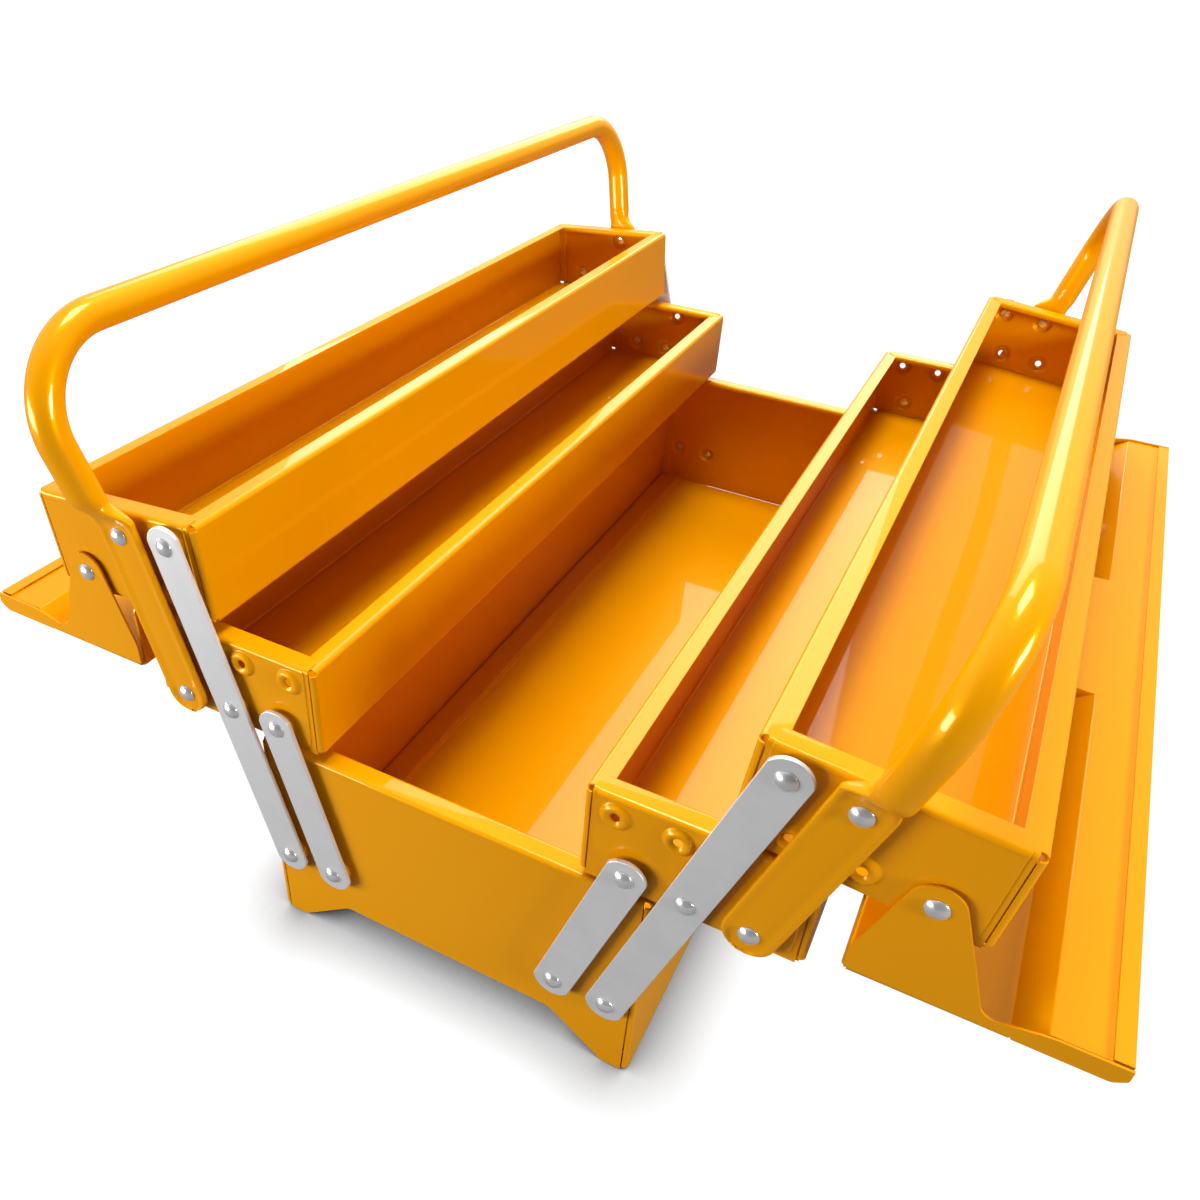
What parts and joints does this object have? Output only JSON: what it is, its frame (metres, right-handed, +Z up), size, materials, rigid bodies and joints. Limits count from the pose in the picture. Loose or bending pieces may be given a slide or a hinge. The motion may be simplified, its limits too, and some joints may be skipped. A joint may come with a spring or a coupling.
{
  "type": "cantilever tool box",
  "caption": "Folded sheet steel cantilever tool box, standing open: base, tiered trays on parallel arms, hinged lids and tubular bail handles.",
  "frame": {"origin": "centre of the base's footprint on the ground, which the opened box is centred on to within a few millimetres", "axes": "+X across the box towards the right trays, +Y along its length towards the rear end, +Z up"},
  "size_m": [0.533, 0.5698, 0.3092],
  "materials": {
    "enamel": "glossy baked enamel",
    "zinc_arm": "zinc plated, drawn grain",
    "rivet_steel": "bright zinc plated"
  },
  "bodies": {
    "base": {"base_side_left": "enamel", "base_side_right": "enamel", "base_floor": "enamel", "base_end_front": "enamel", "base_end_rear": "enamel", "base_rivets": "rivet_steel"},
    "left_mid_tray": {"left_mid_tray_pan": "enamel", "left_mid_tray_end_front": "enamel", "left_mid_tray_end_rear": "enamel", "left_mid_tray_rivets": "rivet_steel"},
    "left_top_tray": {"left_top_tray_pan": "enamel", "left_top_tray_end_front": "enamel", "left_top_tray_end_rear": "enamel", "left_top_tray_rivets": "rivet_steel"},
    "left_long_arms": {"left_long_arm_front": "zinc_arm", "left_long_arm_rear": "zinc_arm"},
    "left_short_arms": {"left_short_arm_front": "zinc_arm", "left_short_arm_rear": "zinc_arm"},
    "left_lid": {"left_lid": "enamel"},
    "left_handle": {"left_handle": "enamel"},
    "right_mid_tray": {"right_mid_tray_pan": "enamel", "right_mid_tray_end_front": "enamel", "right_mid_tray_end_rear": "enamel", "right_mid_tray_rivets": "rivet_steel"},
    "right_top_tray": {"right_top_tray_pan": "enamel", "right_top_tray_end_front": "enamel", "right_top_tray_end_rear": "enamel", "right_top_tray_rivets": "rivet_steel"},
    "right_long_arms": {"right_long_arm_front": "zinc_arm", "right_long_arm_rear": "zinc_arm"},
    "right_short_arms": {"right_short_arm_front": "zinc_arm", "right_short_arm_rear": "zinc_arm"},
    "right_lid": {"right_lid": "enamel"},
    "right_handle": {"right_handle": "enamel"}
  },
  "joints": [
    {"name": "left_fold", "type": "hinge", "parent": "base", "child": "left_long_arms", "pos_m": [-0.087, 0, 0.05099], "axis": [0, 1, 0], "range_deg": [0, 38.61]},
    {"name": "left_short_arm_pivot", "type": "hinge", "parent": "base", "child": "left_short_arms", "pos_m": [-0.061, 0, 0.05099], "axis": [0, 1, 0], "range_deg": [0, 38.61]},
    {"name": "left_mid_tray_pivot", "type": "hinge", "parent": "left_long_arms", "child": "left_mid_tray", "pos_m": [-0.11019, 0, 0.13691], "axis": [0, 1, 0], "range_deg": [-38.61, 0]},
    {"name": "left_top_tray_pivot", "type": "hinge", "parent": "left_long_arms", "child": "left_top_tray", "pos_m": [-0.13214, 0, 0.2183], "axis": [0, 1, 0], "range_deg": [-33.61, 0]},
    {"name": "left_handle_pivot", "type": "hinge", "parent": "left_mid_tray", "child": "left_handle", "pos_m": [-0.13619, 0, 0.13691], "axis": [0, 1, 0], "range_deg": [0, 38.61]},
    {"name": "left_lid_pivot", "type": "hinge", "parent": "left_top_tray", "child": "left_lid", "pos_m": [-0.18912, 0, 0.18541], "axis": [0, 1, 0], "range_deg": [0, 175.01]},
    {"name": "right_fold", "type": "hinge", "parent": "base", "child": "right_long_arms", "pos_m": [0.087, 0, 0.05099], "axis": [0, -1, 0], "range_deg": [0, 41.31]},
    {"name": "right_short_arm_pivot", "type": "hinge", "parent": "base", "child": "right_short_arms", "pos_m": [0.061, 0, 0.05099], "axis": [0, -1, 0], "range_deg": [0, 41.31]},
    {"name": "right_mid_tray_pivot", "type": "hinge", "parent": "right_long_arms", "child": "right_mid_tray", "pos_m": [0.11421, 0, 0.13573], "axis": [0, -1, 0], "range_deg": [-41.31, 0]},
    {"name": "right_top_tray_pivot", "type": "hinge", "parent": "right_long_arms", "child": "right_top_tray", "pos_m": [0.13998, 0, 0.21599], "axis": [0, -1, 0], "range_deg": [-36.31, 0]},
    {"name": "right_handle_pivot", "type": "hinge", "parent": "right_mid_tray", "child": "right_handle", "pos_m": [0.14021, 0, 0.13573], "axis": [0, -1, 0], "range_deg": [0, 41.31]},
    {"name": "right_lid_pivot", "type": "hinge", "parent": "right_top_tray", "child": "right_lid", "pos_m": [0.19695, 0, 0.1831], "axis": [0, -1, 0], "range_deg": [0, 175.01]}
  ],
  "couplings": [
    {"joint": "left_short_arm_pivot", "follows": "left_fold", "ratio": 1},
    {"joint": "left_mid_tray_pivot", "follows": "left_fold", "ratio": -1},
    {"joint": "left_top_tray_pivot", "follows": "left_fold", "ratio": -0.87049},
    {"joint": "left_handle_pivot", "follows": "left_fold", "ratio": 1},
    {"joint": "left_lid_pivot", "follows": "left_fold", "ratio": 4.5327},
    {"joint": "right_short_arm_pivot", "follows": "right_fold", "ratio": 1},
    {"joint": "right_mid_tray_pivot", "follows": "right_fold", "ratio": -1},
    {"joint": "right_top_tray_pivot", "follows": "right_fold", "ratio": -0.87896},
    {"joint": "right_handle_pivot", "follows": "right_fold", "ratio": 1},
    {"joint": "right_lid_pivot", "follows": "right_fold", "ratio": 4.2365}
  ]
}
